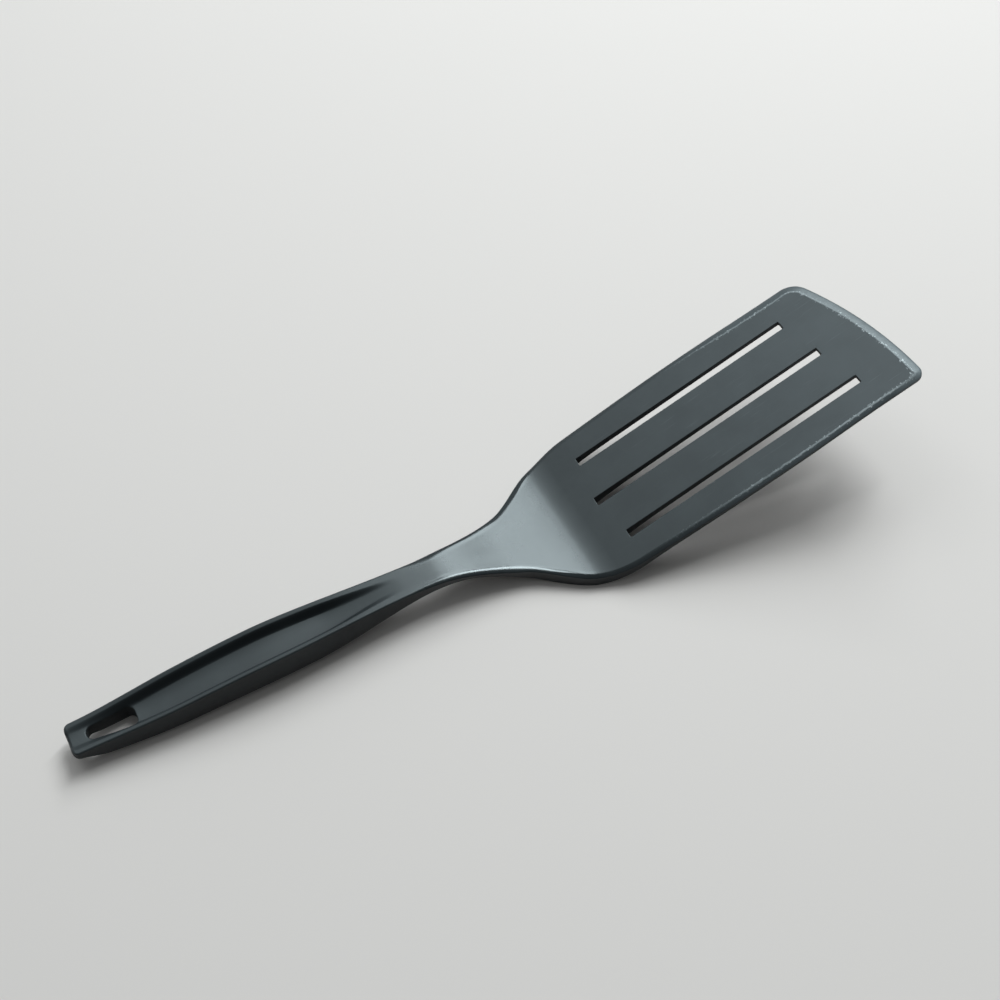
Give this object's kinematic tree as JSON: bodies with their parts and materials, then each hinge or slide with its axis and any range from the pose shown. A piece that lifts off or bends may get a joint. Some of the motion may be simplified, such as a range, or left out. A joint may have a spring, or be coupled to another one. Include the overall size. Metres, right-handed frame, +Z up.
{
  "type": "slotted spatula",
  "caption": "One-piece black nylon kitchen turner with a tilted slotted blade, bevelled slanted tip, flared neck and slim recessed handle with a hanging slot.",
  "frame": {"origin": "under the middle of the length, on the worktop that the heel and the handle's belly rest on", "axes": "+X from the handle's end to the blade's tip, +Z up, +Y to the side of the blade where the tip is shorter"},
  "size_m": [0.3136, 0.0636, 0.0477],
  "materials": {
    "nylon": "black nylon, satin on blade and handle, smoother on the neck, paler where the tip's bevel is worn"
  },
  "bodies": {
    "root": {"blade": "nylon", "neck": "nylon", "handle": "nylon"}
  },
  "joints": []
}
